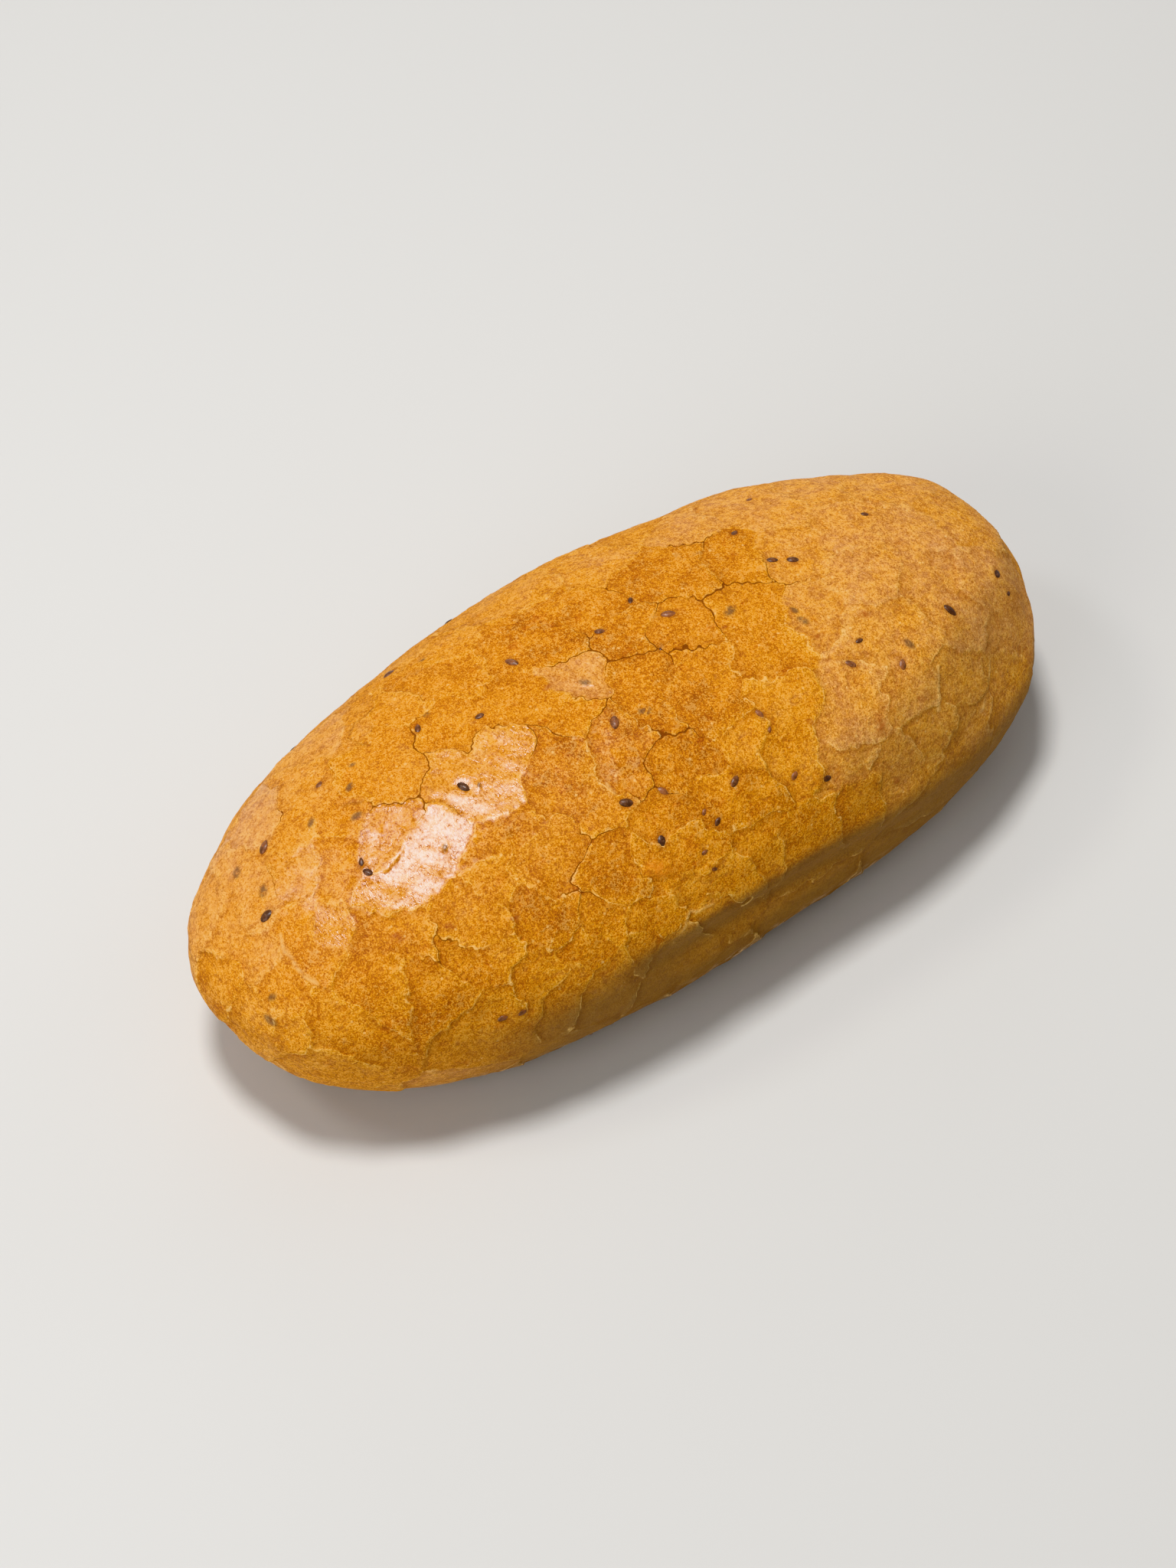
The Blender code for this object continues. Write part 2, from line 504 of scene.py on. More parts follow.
def strewn(points, facing, taken, spacing, seed):
    """Places spread over the hidden side, this far or more from those taken and each other."""
    random = np.random.default_rng(seed)
    hidden = np.flatnonzero(facing @ np.array(show_way) < HIDDEN_FACING)
    kept = list(taken)
    added = []
    for index in random.permutation(hidden):
        place = points[index]
        if (((np.array(kept) - place) ** 2).sum(1)).min() > spacing**2:
            kept.append(place)
            added.append(place)
    return added


def nearest_seats(points):
    """For each point: its own seat, the nearest of another plate, and how far the border is."""
    warped = bent(points)
    square = (warped**2).sum(1)[:, None] - 2 * warped @ seats.T + (seats**2).sum(1)
    own = square.argmin(1)
    rows = np.arange(len(points))
    nearest = square[rows, own]
    square[plate_of[own][:, None] == plate_of[None, :]] = np.inf
    other = square.argmin(1)
    apart = np.linalg.norm(seats[own] - seats[other], axis=1)
    return own, other, (square[rows, other] - nearest) / (2 * apart)


def split_fine_parts(skin):
    """Halves the quads at cracks, seeds, lips and folds, then cuts them all into triangles."""
    mesh = skin.data
    points = points_of(mesh)
    own_seat, _, distance = nearest_seats(points)
    near = distance < CRACK_SPLIT_REACH
    for station, turn, *_ in BARE_SEEDS + VEILED_SEEDS + RUSTY_SPOTS:
        middle, _ = spot_on_crust(station, turn)
        near |= ((points - middle) ** 2).sum(1) < SEED_SPLIT_REACH**2
    for spots in LIPS + FOLDS:
        near |= off_line(points, spots) < LINE_SPLIT_REACH
    corners = np.empty(len(mesh.loops), int)
    mesh.loops.foreach_get("vertex_index", corners)
    corners = corners.reshape(-1, 4)
    plates = plate_of[own_seat][corners]
    chosen = near[corners].any(1) | (plates != plates[:, :1]).any(1)
    chosen &= points[corners, 2].max(1) > SOLE_LEVEL
    bpy.ops.object.mode_set(mode="EDIT")
    bpy.ops.mesh.select_mode(type="FACE")
    bpy.ops.mesh.select_all(action="DESELECT")
    bpy.ops.object.mode_set(mode="OBJECT")
    mesh.polygons.foreach_set("select", chosen)
    bpy.ops.object.mode_set(mode="EDIT")
    bpy.ops.mesh.subdivide(number_cuts=1)
    bpy.ops.mesh.select_all(action="SELECT")
    bpy.ops.mesh.quads_convert_to_tris(quad_method="SHORTEST_DIAGONAL", ngon_method="BEAUTY")
    bpy.ops.object.mode_set(mode="OBJECT")


def run_cracks_along_edges(mesh):
    """Moves the points beside each crack onto it, so that the crack runs along the skin's edges.
    Returns the points, in mm, and which of them lie on a crack."""
    points = points_of(mesh)
    ends = np.empty(len(mesh.edges) * 2, int)
    mesh.edges.foreach_get("vertices", ends)
    ends = ends.reshape(-1, 2)
    plate = plate_of[nearest_seats(points)[0]]
    crossing = ends[plate[ends[:, 0]] != plate[ends[:, 1]]]
    first, last = points[crossing[:, 0]], points[crossing[:, 1]]
    low = np.zeros(len(crossing))
    high = np.ones(len(crossing))
    for _ in range(7):
        middle = (low + high) / 2
        here = plate_of[nearest_seats(first + (last - first) * middle[:, None])[0]]
        inside = here == plate[crossing[:, 0]]
        low = np.where(inside, middle, low)
        high = np.where(inside, high, middle)
    share = (low + high) / 2
    target = first + (last - first) * share[:, None]
    travel = np.minimum(share, 1 - share) * np.linalg.norm(last - first, axis=1)
    on_crack = np.zeros(len(points), bool)
    for index in np.argsort(travel):
        start, end = crossing[index]
        if not (on_crack[start] or on_crack[end]):
            moved = start if share[index] < 0.5 else end
            points[moved] = target[index]
            on_crack[moved] = True
    return points, on_crack


def lying(points, station, turn, length, way):
    """How far each point is from the middle of a lying seed, with 1 at the seed's outline."""
    middle, facing = spot_on_crust(station, turn)
    angle = math.radians(way)
    along = np.array((math.cos(angle), math.sin(angle), 0))
    along -= facing * (along @ facing)
    along /= np.linalg.norm(along)
    across = np.cross(facing, along)
    offset = points - middle
    depth = offset @ facing
    return np.sqrt(
        (offset @ along / (length / 2)) ** 2
        + (offset @ across / (length / OUTLINE_SLENDERNESS)) ** 2
        + (depth / length) ** 2
    )


# Lines in the skin: lips where a fold of dough stands up, folds where it dips
LIPS = (
    ((-128, 73), (-130, 65), (-130, 55), (-129, 49), (-127, 43)),
    ((-26, 54), (-26, 58)),
    ((-29, 11), (-23, 17), (-14, 16)),
    ((87, 38), (80, 27)),
    ((111, 32), (107, 25), (97, 17)),
)
FOLDS = (
    ((-78, 130), (-73, 135), (-68, 134), (-65, 135)),
    ((-70, 127), (-75, 120), (-78, 130)),
    ((-93, 104), (-88, 100)),
)
LINE_HALF_WIDTH = 0.5
LIP_RISE = 0.2
FOLD_DIP = 0.25


def off_line(points, spots):
    """How far each point is, in mm, from a line through these places."""
    places = [spot_on_crust(station, turn)[0] for station, turn in spots]
    least = np.full(len(points), np.inf)
    uneven = points + jags(points, *LINE_JAGS)
    for first, last in zip(places, places[1:]):
        run = last - first
        share = np.clip((uneven - first) @ run / (run @ run), 0, 1)
        offset = uneven - first - share[:, None] * run
        least = np.minimum(least, np.linalg.norm(offset, axis=1))
    return least


def beside_lines(points, lines):
    """1 on the lines, and falling to 0 beside them."""
    near = np.zeros(len(points))
    for spots in lines:
        near = np.maximum(near, np.exp(-((off_line(points, spots) / LINE_HALF_WIDTH) ** 2)))
    return near


show_way = way_out(SHOW_AZIMUTH, SHOW_ELEVATION)
crust = skin_copy()
smooth_skin = BVHTree.FromObject(crust, bpy.context.evaluated_depsgraph_get())
points = points_of(crust.data)
facing = normals_of(crust.data)

places = [
    (spot_on_crust(*spot)[0], plate)
    for plate, (_, _, *spots) in enumerate(HAND_PLATES)
    for spot in spots
]
taken = [place for place, _ in places]
far_places = strewn(points, facing, taken, PLAIN_PLATE_SPACING, seed=11)
places += [(place, plate) for plate, place in enumerate(far_places, len(HAND_PLATES))]
seat_spots = np.array([place for place, _ in places])
seats = bent(seat_spots)
plate_of = np.array([plate for _, plate in places])
plate_count = len(HAND_PLATES) + len(far_places)

split_fine_parts(crust)
points, on_crack = run_cracks_along_edges(crust.data)
crust.data.vertices.foreach_set("co", (points * MM).ravel())
crust.data.update()
facing = normals_of(crust.data)

# What each plate is like
random = np.random.default_rng(5)
plate_bake = random.uniform(*PLAIN_PLATE_BAKE, plate_count)
plate_gloss = np.full(plate_count, PLAIN_PLATE_GLOSS)
plate_bake[: len(HAND_PLATES)] = [plate[0] for plate in HAND_PLATES]
plate_gloss[: len(HAND_PLATES)] = [plate[1] for plate in HAND_PLATES]
plate_bake += random.uniform(-BAKE_SPREAD, BAKE_SPREAD, plate_count)
plate_middle = np.array([seat_spots[plate_of == n].mean(0) for n in range(plate_count)])
plate_flatness = FLATNESS + GLAZED_FLATNESS * soft_step(plate_gloss, 0.4, 0.8)
plate_level = random.uniform(-PLATE_LEVEL, PLATE_LEVEL, plate_count)
plate_tilt = random.normal(0, PLATE_TILT, (plate_count, 3))
off_crown = soft_fall(plate_middle[:, 2], *TILT_LEVELS)
plate_tilt += (CROWN_TILT + SCALE_TILT * off_crown[:, None]) * np.array(TILT_WAY)
crack_chance = random.uniform(-1, 1, (plate_count, plate_count))

own_seat, other_seat, rift = nearest_seats(points)
rift[on_crack] = 0
own = plate_of[own_seat]
other = plate_of[other_seat]
low_plate = np.minimum(own, other)
high_plate = np.maximum(own, other)

# How far the crack beside each point gapes, from -1, healed, to 1
low_on_side = soft_fall(points[:, 2], *HEALING_LEVELS)
on_blunt_end = soft_step(points[:, 0], *HEALING_STATIONS)
gape_change, gape_waver = GAPE_RIPPLE
gape = GAPE_BY_PLATES * crack_chance[low_plate, high_plate]
gape += gape_waver * ripple(points, gape_change, seed=21)
gape += GAPE_AT_REST - LOW_HEALING * low_on_side - BLUNT_END_HEALING * on_blunt_end
gape -= FAR_SIDE_HEALING * soft_step(points[:, 1], *HEALING_SIDE)
pull = np.zeros(len(points))
for station, turn, wide in GAPES:
    middle, _ = spot_on_crust(station, turn)
    near = np.exp(-((points - middle) ** 2).sum(1) / (2 * GAPE_REACH**2))
    pull = np.maximum(pull, near * (wide + GAPE_LIFT))
gape = np.clip(np.maximum(gape, GAPE_GAIN * pull - GAPE_LOSS), -1, 1)
opened = np.clip(gape, 0, 1)

# The way that each plate faces, and how far on average its skin lies below its middle
sizes = np.maximum(np.bincount(own, minlength=plate_count), 1)
plate_facing = np.stack([np.bincount(own, way, plate_count) for way in facing.T], 1)
plate_facing /= sizes[:, None]
drop = -((points - plate_middle[own]) * plate_facing[own]).sum(1)
plate_drop = np.bincount(own, drop, plate_count) / sizes


def plate_height(plate):
    """How high each point stands on this plate, which is tilted and flatter than the loaf."""
    offset = points - plate_middle[plate]
    drop = -(offset * plate_facing[plate]).sum(1) - plate_drop[plate]
    return plate_level[plate] + (offset * plate_tilt[plate]).sum(1) + drop * plate_flatness[plate]


# The plates' own heights meet half way at the crack
own_height = np.clip(plate_height(own), -MOST_STEP, MOST_STEP)
other_height = np.clip(plate_height(other), -MOST_STEP, MOST_STEP)
proud = soft_step(own_height - other_height, -CLEAR_STEP, CLEAR_STEP)
lip_share = CROWN_LIP_SHARE + (1 - CROWN_LIP_SHARE) * soft_fall(points[:, 2], *LIP_LEVELS)
curl = LIP_HEIGHT * lip_share * np.exp(-rift / LIP_REACH)
own_height += curl * proud
other_height += curl * (1 - proud)
share = 0.5 + 0.5 * soft_step(rift, 0, STEP_WIDTH)
height = share * own_height + (1 - share) * other_height
for length, size in SWELL:
    height += size * ripple(points, length, seed=length + 40)
height += (HEALED_CURL + GAPING_CURL * opened) * np.exp(-rift / CURL_REACH)
groove = np.clip(1 - rift / GROOVE_HALF_WIDTH, 0, 1)
height -= (HAIRLINE_DEPTH + GAPE_DEPTH * opened) * groove

# Which side of a crack each point is on: 1 on the proud edge, -1 on the edge that it laps. The
# material paints light on the first and shade on the second, fainter at the blunt end and on the
# +Y side
standing = 2 * proud - 1
standing[on_crack] = 0
standing *= 1 - 0.5 * soft_step(points[:, 0], *EDGE_LIGHT_AND_SHADE_STATIONS)
standing *= 0.45 + 0.55 * soft_fall(points[:, 1], *EDGE_LIGHT_AND_SHADE_SIDE)

# Lips and folds of the dough
raised = beside_lines(points, LIPS)
folded = beside_lines(points, FOLDS)
height += LIP_RISE * raised - FOLD_DIP * folded

# Painted shade under the girth: skin that faces down is darkened, most on the -Y side and fading
# out towards the -X end
under = soft_fall(facing[:, 2], 0.40, -0.05) * soft_step(points[:, 0], *PAINTED_SHADE_STATIONS)
under *= 0.4 + 0.6 * soft_fall(points[:, 1], *PAINTED_SHADE_SIDE)

# Painted shade on the shoulder of the blunt end, joined to the painted shade under the girth
shoulder_shade = soft_step(-0.8 * facing[:, 1] + 0.6 * facing[:, 0], 0.42, 0.62)
high_up = soft_step(points[:, 2], *SHOULDER_SHADE_LEVELS)
shoulder_shade *= high_up * soft_step(points[:, 0], *SHOULDER_SHADE_STATIONS)
under = np.maximum(under, SHOULDER_PAINTED_SHADE * shoulder_shade)

# Seeds press pits and swells into the skin
halo = np.zeros(len(points))
veil = np.zeros(len(points))
rust = np.zeros(len(points))
for seed in BARE_SEEDS:
    reach = lying(points, *seed)
    pit = BARE_SEED_PIT * np.exp(-((reach / PIT_REACH) ** 2))
    height += BARE_SEED_RIM * np.exp(-((reach / RIM_REACH) ** 2)) - pit
    halo = np.maximum(halo, np.exp(-((reach / HALO_REACH) ** 4)))
for seed in VEILED_SEEDS:
    reach = lying(points, *seed)
    height += VEILED_SEED_SWELL * np.exp(-((reach / PIT_REACH) ** 2))
    veil = np.maximum(veil, 1 - soft_step(reach, *VEIL_FADE))
for spot in RUSTY_SPOTS:
    reach = lying(points, *spot)
    height += RUSTY_SPOT_SWELL * np.exp(-((reach / RUST_REACH) ** 2))
    rust = np.maximum(rust, 1 - soft_step(reach, *RUST_FADE))
reach = lying(points, *BLISTER)
height += BLISTER_HEIGHT * np.clip(1 - (reach / BLISTER_REACH) ** 2, 0, 1) ** 1.5
blister = 1 - soft_step(reach, *BLISTER_FADE)

# The sole stays flat on the hearth
off_sole = soft_step(points[:, 2], *SOLE_LEVELS)
height *= off_sole
points += facing * height[:, None]
points[:, 2] = np.maximum(points[:, 2], 0)
crust.data.vertices.foreach_set("co", (points * MM).ravel())

# What the material reads at each point of the skin
bake = np.where(on_crack, (plate_bake[own] + plate_bake[other]) / 2, plate_bake[own])
gloss = np.where(on_crack, (plate_gloss[own] + plate_gloss[other]) / 2, plate_gloss[own])
for name, values in {
    "rift": np.minimum(rift, FAR_FROM_CRACKS) + SOLE_RIFT * (1 - off_sole),
    "gape": gape,
    # painted light (1) and painted shade (-1) beside the cracks
    "standing": standing,
    "bake": bake,
    "gloss": gloss,
    "halo": halo,
    "veil": veil,
    "rust": rust,
    "blister": blister,
    # painted shade under the girth and on the blunt end's shoulder
    "under": under,
    "raised": raised,
    "folded": folded,
}.items():
    layer = crust.data.attributes.new(name, "FLOAT", "POINT")
    layer.data.foreach_set("value", values.astype(np.float32))
crust.data.update()
bpy.ops.object.shade_smooth()


class Wire:
    """One socket of a material. Sums and products of wires add their Math nodes."""

    def __init__(self, tree, socket=None):
        self.tree = tree
        self.socket = socket

    def node(self, kind, settings, sockets, out=0):
        """Adds a node, sets it up, then fills its sockets with values or with other wires."""
        made = self.tree.nodes.new(kind)
        for name, value in settings.items():
            if name == "stops":
                ramp = made.color_ramp
                while len(ramp.elements) < len(value):
                    ramp.elements.new(0.5)
                for stop, (position, colour) in zip(ramp.elements, value):
                    stop.position = position
                    stop.color = (*colour, 1)
            else:
                setattr(made, name, value)
        for name, value in sockets.items():
            if isinstance(value, Wire):
                self.tree.links.new(value.socket, made.inputs[name])
            elif isinstance(value, tuple) and made.inputs[name].type == "RGBA":
                made.inputs[name].default_value = (*value, 1)
            else:
                made.inputs[name].default_value = value
        return Wire(self.tree, made.outputs[out])

    def math(self, operation, *values):
        return self.node("ShaderNodeMath", {"operation": operation}, dict(enumerate(values)))

    def __add__(self, other):
        return self.math("ADD", self, other)

    __radd__ = __add__

    def __sub__(self, other):
        return self.math("SUBTRACT", self, other)

    def __rsub__(self, other):
        return self.math("SUBTRACT", other, self)

    def __mul__(self, other):
        return self.math("MULTIPLY", self, other)

    __rmul__ = __mul__

    def __truediv__(self, other):
        return self.math("DIVIDE", self, other)

    def __abs__(self):
        return self.math("ABSOLUTE", self)

    def rise(self, low, high):
        """0 below low, 1 above high, and a soft slope between."""
        settings = {"interpolation_type": "SMOOTHSTEP"}
        return self.node("ShaderNodeMapRange", settings, {0: self, 1: low, 2: high})

    def fall(self, low, high):
        return 1 - self.rise(low, high)

    def blend(self, first, second):
        """The first colour where this wire is 0, the second where it is 1."""
        settings = {"data_type": "RGBA"}
        return self.node("ShaderNodeMix", settings, {0: self, 6: first, 7: second}, 2)

    def tinted(self, tint):
        """This colour times the tint."""
        settings = {"data_type": "RGBA", "blend_type": "MULTIPLY"}
        return self.node("ShaderNodeMix", settings, {0: 1.0, 6: self, 7: tint}, 2)

    def grain(self, size, detail=2.0, roughness=0.5, distortion=0.0):
        """Noise on this place, with grains of about this size in mm."""
        sockets = {
            "Vector": self,
            "Scale": 1 / (size * MM),
            "Detail": detail,
            "Roughness": roughness,
            "Distortion": distortion,
        }
        return self.node("ShaderNodeTexNoise", {}, sockets, "Fac")

    def dots(self, spacing):
        """How far this place is from the nearest of dots strewn about this far apart, in mm."""
        sockets = {"Vector": self, "Scale": 1 / (spacing * MM), "Randomness": 1.0}
        return self.node("ShaderNodeTexVoronoi", {}, sockets, "Distance")

    def as_normal(self):
        """The way that a surface faces that stands this high, in metres."""
        sockets = {"Strength": 1.0, "Distance": 1.0, "Height": self}
        return self.node("ShaderNodeBump", {}, sockets)

    def stretched(self, x, y, z):
        """This place with its sides scaled, so that grains on it are drawn out."""
        sockets = {0: self, 1: (x, y, z)}
        return self.node("ShaderNodeVectorMath", {"operation": "MULTIPLY"}, sockets)

    def layer(self, name):
        """What the mesh carries under this name."""
        return self.node("ShaderNodeAttribute", {"attribute_name": name}, {}, "Fac")


# Colours of the skin from pale to dark bake
BAKE_COLOURS = (
    (0.00, (0.56, 0.262, 0.078)),
    (0.15, (0.57, 0.244, 0.060)),
    (0.32, (0.60, 0.248, 0.037)),
    (0.46, (0.60, 0.230, 0.018)),
    (0.60, (0.57, 0.200, 0.004)),
    (0.75, (0.50, 0.158, 0.002)),
    (1.00, (0.33, 0.092, 0.001)),
)
# Tints of the skin's darkest grains, its brightest grains and its stained patches
BROWNED = (0.66, 0.515, 0.36)
GILDED = (1.28, 1.46, 2.00)
STAINED = (0.84, 0.66, 0.45)
# Painted shade on a plate beside a neighbour that laps it, and painted light on its own proud edge
SHADED_EDGE = (0.78, 0.68, 0.55)
LIT_EDGE = (1.07, 1.20, 1.45)
# Painted shade under the girth and on the blunt end's shoulder
UNDER_PAINTED_SHADE = (0.225, 0.125, 0.045)
# Pale skin, also used as a painted highlight on the palest grains, proud edges and raised lips
PALE_SKIN_AND_HIGHLIGHT = (0.88, 0.56, 0.20)
CRACK_BROWN = (0.16, 0.034, 0.003)
PINHOLE_BROWN = (0.26, 0.060, 0.004)
PIT_BROWN = (0.24, 0.06, 0.01)
FLOUR = (0.70, 0.55, 0.40)
VEIL_GREY = (0.14, 0.072, 0.038)
RUST_BROWN = (0.33, 0.075, 0.016)
BLISTER_ORANGE = (0.64, 0.20, 0.015)
SHADED_OLIVE = (0.30, 0.125, 0.012)
SOLE_BROWN = (0.42, 0.19, 0.05)

DULL_ROUGHNESS = 0.80
GLAZE_SMOOTHNESS = 0.60  # how much smoother the starch glaze is
GLAZE_COAT = 0.62  # weight of its clear coat, on average
GLAZE_COAT_ROUGHNESS = 0.28
SKIN_SPECULAR = 0.36
WRINKLE_DEPTH = 0.3  # of the glaze, in mm, as the next two
DIMPLE_DEPTH = 0.34
CRACK_BOTTOM = 0.12


def crust_material():
    material = bpy.data.materials.new("crust")
    material.use_nodes = True
    tree = material.node_tree
    shader = tree.nodes["Principled BSDF"]
    start = Wire(tree)
    place = start.node("ShaderNodeTexCoord", {}, {}, "Object")
    up = start.node("ShaderNodeSeparateXYZ", {}, {0: place}, "Z") * 1000
    rift = start.layer("rift")
    gape = start.layer("gape")
    standing = start.layer("standing")
    gloss = start.layer("gloss")

    # Noise from coarse to fine: grain size in mm, detail, roughness and distortion
    blotch = place.grain(26, 2.0)
    patch = place.grain(8, 3.0, 0.6)
    cloud = place.grain(4, 2.0, 0.6, 0.3)
    mottle = place.grain(1.8, 2.0, 0.6, 0.5)
    speck = place.stretched(1.0, 0.75, 0.8).grain(0.9, 2.0, 0.7, 0.4)
    dust = place.grain(0.45, 1.0, 0.5)
    thread = abs(place.stretched(1.2, 0.7, 0.7).grain(1.5, 2.0, 0.5, 0.9) - 0.5).fall(0.0, 0.05)
    finer_thread = abs(place.grain(0.8, 1.0, 0.5, 0.9) - 0.5).fall(0.0, 0.06)

    # The bake is uneven, and more so where it is dark and well inside a plate
    inner = rift.rise(0.5, 4.5)
    bake = start.layer("bake")
    uneven = (blotch - 0.5) * 0.35 + (patch - 0.5) * (0.5 + inner * 0.4) + (mottle - 0.5) * 0.8
    bake = bake + uneven * (0.2 + bake * 1.3)
    colour = bake.node("ShaderNodeValToRGB", {"stops": BAKE_COLOURS}, {0: bake})

    # Grains darker and brighter than the skin round them, a painted glint on the palest of them,
    # then stained patches
    bright = (cloud - 0.5) * 3.2 + (mottle - 0.5) * 3.4 + (speck - 0.5) * 4.6 + (dust - 0.5) * 5.0
    bright = (bright + thread * 0.6 + finer_thread * 0.4 - 0.1) * (0.50 + bake * 0.92)
    bright = (bright + 0.5).rise(-1.2, 1.8)
    colour = bright.blend(colour.tinted(BROWNED), colour.tinted(GILDED))
    # Painted glints: the palest grains are blended towards pale skin
    colour = (bright.rise(0.80, 1.0) * 0.26).blend(colour, PALE_SKIN_AND_HIGHLIGHT)
    stain = place.grain(6, 3.0, 0.6, 0.4).rise(0.58, 0.74) * (0.3 + bake * 0.8)
    colour = stain.blend(colour, colour.tinted(STAINED))

    # Pinholes and small pale flecks
    pinhole = place.dots(2.4).fall(0.06, 0.22) * patch.rise(0.42, 0.60)
    colour = (pinhole * 0.6).blend(colour, PINHOLE_BROWN)
    fleck = place.dots(3.1).fall(0.08, 0.20) * cloud.rise(0.45, 0.60)
    colour = (fleck * 0.55).blend(colour, PALE_SKIN_AND_HIGHLIGHT)

    # Seeds under the skin, rusty bran, the pits of the bare seeds and the blister
    colour = (start.layer("veil") * mottle.rise(0.2, 0.55) * 0.8).blend(colour, VEIL_GREY)
    colour = (start.layer("rust") * mottle.rise(0.25, 0.6) * 0.8).blend(colour, RUST_BROWN)
    colour = (start.layer("halo") * 0.55).blend(colour, PIT_BROWN)
    colour = (start.layer("blister") * mottle.rise(0.25, 0.6) * 0.7).blend(colour, BLISTER_ORANGE)

    # Flour near the foot, painted shade under the girth and on the blunt end's shoulder, and
    # painted shade darkening towards the foot
    floury = up.fall(7.0, 22.0) * place.grain(4, 3.0, 0.7).rise(0.42, 0.60)
    colour = (start.layer("under") * 0.8).blend(colour, UNDER_PAINTED_SHADE)
    colour = (up.fall(4, 30) * 0.25).blend(colour, SHADED_OLIVE)
    colour = (floury * 0.7).blend(colour, FLOUR)
    colour = up.fall(0.1, 0.8).blend(colour, SOLE_BROWN)

    # Cracks: a dark line, with painted shade on the lapped plate, and painted light and a pale
    # lip, partly a painted highlight, on the proud one
    shown = gape.rise(-0.5, 0.5)
    width = 0.08 + gape.rise(0, 1) * 0.16
    line = (rift / width).fall(0.3, 1.4) * (0.10 + shown * 0.8)
    proud = standing.rise(-0.3, 0.7) * rift.fall(0.0, 4.0)
    lapped_shade = (standing * -1).rise(-0.3, 0.7) * rift.fall(0.0, 4.5)
    colour = (lapped_shade * 0.75).blend(colour, colour.tinted(SHADED_EDGE))
    colour = (proud * 0.75).blend(colour, colour.tinted(LIT_EDGE))
    # The pale lip on the proud edge: partly paler skin, partly a painted highlight
    lip = rift.rise(0.0, 0.2) * rift.fall(0.25, 0.72) * standing.rise(0.0, 0.8)
    lip = lip * mottle.rise(0.32, 0.55)
    colour = (lip * 0.65).blend(colour, PALE_SKIN_AND_HIGHLIGHT)
    # The raised lips are painted pale: partly paler skin, partly a painted highlight
    colour = (start.layer("raised") * 0.6).blend(colour, PALE_SKIN_AND_HIGHLIGHT)
    colour = (start.layer("folded") * 0.5).blend(colour, CRACK_BROWN)
    colour = line.blend(colour, CRACK_BROWN)
    tree.links.new(colour.socket, shader.inputs["Base Color"])

    # The glaze, which is worn off in places
    worn = gloss * place.grain(7, 3.0, 0.6).rise(0.20, 0.50) * (1 - line)
    glazed = worn.rise(0.15, 0.9)
    roughness = DULL_ROUGHNESS - glazed * GLAZE_SMOOTHNESS
    roughness = roughness + (mottle - 0.5) * 0.3 + floury * 0.2 + line * 0.3
    tree.links.new(roughness.socket, shader.inputs["Roughness"])
    coat = glazed * ((speck - 0.5) * 2.6 + (mottle - 0.5) * 1.6 + GLAZE_COAT)
    tree.links.new(coat.socket, shader.inputs["Coat Weight"])
    shader.inputs["Coat Roughness"].default_value = GLAZE_COAT_ROUGHNESS
    shader.inputs["Specular IOR Level"].default_value = SKIN_SPECULAR

    # Fine relief, in metres: grains, pinholes, crack bottoms and the wrinkles of the glaze
    wrinkle = abs(place.stretched(0.9, 0.35, 0.35).grain(1.1, 2.0, 0.6, 0.8) - 0.5)
    dimple = place.stretched(1.0, 0.6, 0.6).grain(2.0, 1.0, 0.5, 0.6)
    relief = (mottle * 0.40 + speck * 0.30 + dust * 0.06 + thread * 0.03 - pinhole * 0.06) * MM
    relief = relief * (1 - gloss * 0.88) + dimple * gloss * DIMPLE_DEPTH * MM
    relief = relief - wrinkle * gloss * WRINKLE_DEPTH * MM - line * shown * CRACK_BOTTOM * MM
    tree.links.new(relief.as_normal().socket, shader.inputs["Normal"])
    return material


crust.data.materials.clear()
crust.data.materials.append(crust_material())
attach(crust, "root")
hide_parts("loaf")


# THE SEEDS
# Whole linseed and split grains, rolled into the outside of the dough before proving. They are
# flat, pointed ovals with a hard brown coat, and bake into shallow pits of the crust.

SEED_WIDTH = 0.58  # of its length
SEED_THICKNESS = 0.42
SEED_SUNK = 0.22  # of its thickness
SEED_SLIMMING = 0.28  # how much slimmer the pointed end is
SEED_FACETS = (14, 9)  # faces round a seed, and rings along it
BAKED_SWELLING = 1.24  # how much longer the bare seeds are than the pits that they sit in
# How far seeds stray: roll and nod in radians, then width and thickness
SEED_ROLL = (-0.35, 0.35)
SEED_NOD = (-0.2, 0.2)
SEED_WIDTHS = (0.88, 1.12)
SEED_THICKNESSES = (0.85, 1.15)
FAR_SEED_SPACING = 17
FAR_SEED_LEVEL = 6  # mm over the hearth, below which no seed is strewn


def seed_shape():
    """One seed 1 mm long: a flat oval, drawn out to a point at one end."""
    bpy.ops.object.select_all(action="DESELECT")
    segments, rings = SEED_FACETS
    bpy.ops.mesh.primitive_uv_sphere_add(
        segments=segments, ring_count=rings, radius=0.5 * MM, rotation=(0, math.pi / 2, 0)
    )
    seed = bpy.context.object
    bpy.ops.object.transform_apply(rotation=True)
    for vert in seed.data.vertices:
        along = vert.co.x / (0.5 * MM)
        slim = 1 - SEED_SLIMMING * max(along, 0) ** 1.5
        vert.co.y *= SEED_WIDTH * slim
        vert.co.z *= SEED_THICKNESS * slim
    bpy.ops.object.shade_smooth()
    return seed


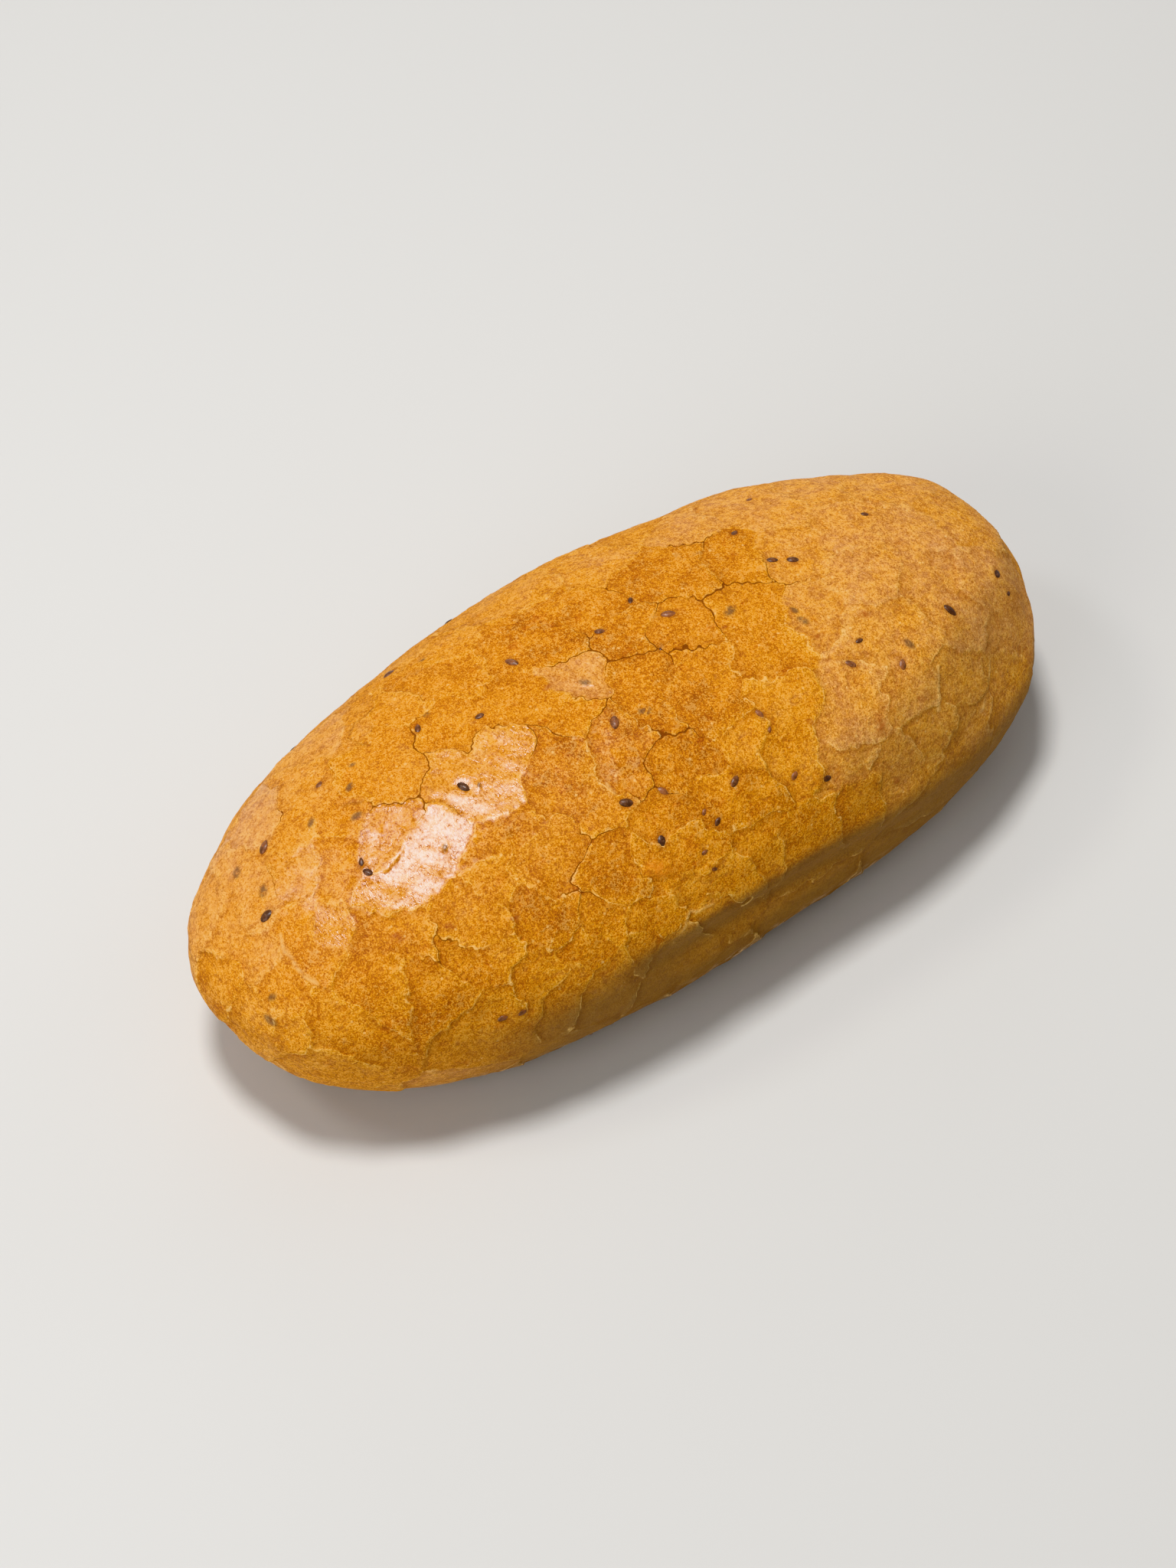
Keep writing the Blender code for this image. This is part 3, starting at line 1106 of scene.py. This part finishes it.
crust_now = BVHTree.FromObject(crust, bpy.context.evaluated_depsgraph_get())
pattern = seed_shape()
random = np.random.default_rng(8)
spots = [spot_on_crust(station, turn) for station, turn, _, _ in BARE_SEEDS]
lengths = [BAKED_SWELLING * length for _, _, length, _ in BARE_SEEDS]
ways = [way for _, _, _, way in BARE_SEEDS]
taken = [spot for spot, _ in spots]
for spot in strewn(points, facing, taken, FAR_SEED_SPACING, seed=23)[:FAR_SEEDS]:
    if spot[2] > FAR_SEED_LEVEL:
        nearest = ((points - spot) ** 2).sum(1).argmin()
        spots.append((spot, facing[nearest]))
        lengths.append(random.uniform(*FAR_SEED_LENGTH))
        ways.append(random.uniform(0, 180))

seeds = []
for (middle, out), length, way in zip(spots, lengths, ways):
    out = Vector(out)
    start = Vector(middle) * MM + out * 3 * MM
    point, _, _, _ = crust_now.ray_cast(start, -out)
    angle = math.radians(way)
    along = Vector((math.cos(angle), math.sin(angle), 0))
    along = (along - out * along.dot(out)).normalized()
    turn = Matrix((along, out.cross(along), out)).transposed()
    roll = Matrix.Rotation(random.uniform(*SEED_ROLL), 3, "X")
    nod = Matrix.Rotation(random.uniform(*SEED_NOD), 3, "Y")
    width = length * random.uniform(*SEED_WIDTHS)
    thickness = length * random.uniform(*SEED_THICKNESSES)
    size = Matrix.Diagonal((length, width, thickness))
    copy = pattern.copy()
    copy.data = pattern.data.copy()
    bpy.context.scene.collection.objects.link(copy)
    copy.data.transform((turn @ (roll @ nod) @ size).to_4x4())
    copy.data.transform(Matrix.Translation(point - out * SEED_SUNK * length * SEED_THICKNESS * MM))
    layer = copy.data.attributes.new("shade", "FLOAT", "POINT")
    shades = np.full(len(copy.data.vertices), random.uniform(0, 1), np.float32)
    layer.data.foreach_set("value", shades)
    seeds.append(copy)

bpy.data.objects.remove(pattern)
bpy.ops.object.select_all(action="DESELECT")
for seed in seeds:
    seed.select_set(True)
bpy.context.view_layer.objects.active = seeds[0]
bpy.ops.object.join()
seeds = bpy.context.object
seeds.name = "seeds"


# Colours of the seeds from dark linseed to split grain
SEED_COLOURS = (
    (0.0, (0.060, 0.028, 0.018)),
    (0.5, (0.12, 0.050, 0.026)),
    (1.0, (0.28, 0.105, 0.045)),
)
SEED_DUST = (0.34, 0.20, 0.12)
SEED_ROUGHNESS = 0.36
SEED_SPECULAR = 0.4


def seed_material():
    material = bpy.data.materials.new("seeds")
    material.use_nodes = True
    tree = material.node_tree
    shader = tree.nodes["Principled BSDF"]
    start = Wire(tree)
    place = start.node("ShaderNodeTexCoord", {}, {}, "Object")
    shade = start.layer("shade") + (place.grain(1.2, 2.0) - 0.5) * 1.6
    colour = shade.node("ShaderNodeValToRGB", {"stops": SEED_COLOURS}, {0: shade})
    dusty = place.grain(0.7, 2.0, 0.6).rise(0.55, 0.75) * 0.35
    colour = dusty.blend(colour, SEED_DUST)
    tree.links.new(colour.socket, shader.inputs["Base Color"])
    roughness = SEED_ROUGHNESS + dusty * 0.5
    tree.links.new(roughness.socket, shader.inputs["Roughness"])
    shader.inputs["Specular IOR Level"].default_value = SEED_SPECULAR
    relief = place.grain(0.9, 2.0) * 0.12 * MM
    tree.links.new(relief.as_normal().socket, shader.inputs["Normal"])
    return material


seeds.data.materials.clear()
seeds.data.materials.append(seed_material())
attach(seeds, "root")


# THE STUDIO
# A plain pale floor under five soft round lights: a small strong one overhead, a weaker one at
# the back, broad low ones at the side and the rear, and a fill. The room adds weak even light.

FLOOR_SIZE = 6
FLOOR_GREY = (0.60, 0.59, 0.57)
FLOOR_ROUGHNESS = 0.8
ROOM_LIGHT = 0.28
AIM_LEVEL = 45 * MM
LIGHT_DISTANCE = 1.6
# Lights: name, azimuth and elevation in degrees, size in metres, power
LIGHTS = (
    ("key", 206, 81, 0.34, 19.8),
    ("back", 232, 52, 0.35, 3.4),
    ("side", -75, 26, 1.2, 10.5),
    ("fill", 90, 25, 0.8, 2.4),
    ("rear", 152, 14, 1.2, 3.5),
)

bpy.ops.object.select_all(action="DESELECT")
bpy.ops.mesh.primitive_plane_add(size=FLOOR_SIZE)
floor = bpy.context.object
floor.name = "floor"
floor_paint = bpy.data.materials.new("floor")
floor_paint.use_nodes = True
paint_shader = floor_paint.node_tree.nodes["Principled BSDF"]
paint_shader.inputs["Base Color"].default_value = (*FLOOR_GREY, 1)
paint_shader.inputs["Roughness"].default_value = FLOOR_ROUGHNESS
floor.data.materials.append(floor_paint)

aim = Vector((0, 0, AIM_LEVEL))
for name, azimuth, elevation, size, power in LIGHTS:
    lamp = bpy.data.lights.new(name, "AREA")
    lamp.shape = "DISK"
    lamp.size = size
    lamp.energy = power
    light = bpy.data.objects.new(name, lamp)
    bpy.context.scene.collection.objects.link(light)
    out = way_out(azimuth, elevation)
    light.location = aim + out * LIGHT_DISTANCE
    light.rotation_euler = out.to_track_quat("Z", "Y").to_euler()

room = bpy.data.worlds.new("room")
room.use_nodes = True
room.node_tree.nodes["Background"].inputs["Color"].default_value = (1, 1, 1, 1)
room.node_tree.nodes["Background"].inputs["Strength"].default_value = ROOM_LIGHT
bpy.context.scene.world = room
bpy.context.scene.view_settings.view_transform = "Khronos PBR Neutral"

# The camera looks at the show side, aimed a little to the left of the loaf's middle and below it
CAMERA_DISTANCE = 954 * MM
CAMERA_LENS = 70
CAMERA_SENSOR = 36
AIM_LEFT = 10.4 * MM
AIM_DOWN = 9.25 * MM

right = way_out(SHOW_AZIMUTH + 90, 0)
above = show_way.cross(right)
lens = bpy.data.cameras.new("camera")
lens.lens = CAMERA_LENS
lens.sensor_width = CAMERA_SENSOR
camera = bpy.data.objects.new("camera", lens)
bpy.context.scene.collection.objects.link(camera)
camera.location = aim - right * AIM_LEFT - above * AIM_DOWN + show_way * CAMERA_DISTANCE
camera.rotation_euler = show_way.to_track_quat("Z", "Y").to_euler()
bpy.context.scene.camera = camera
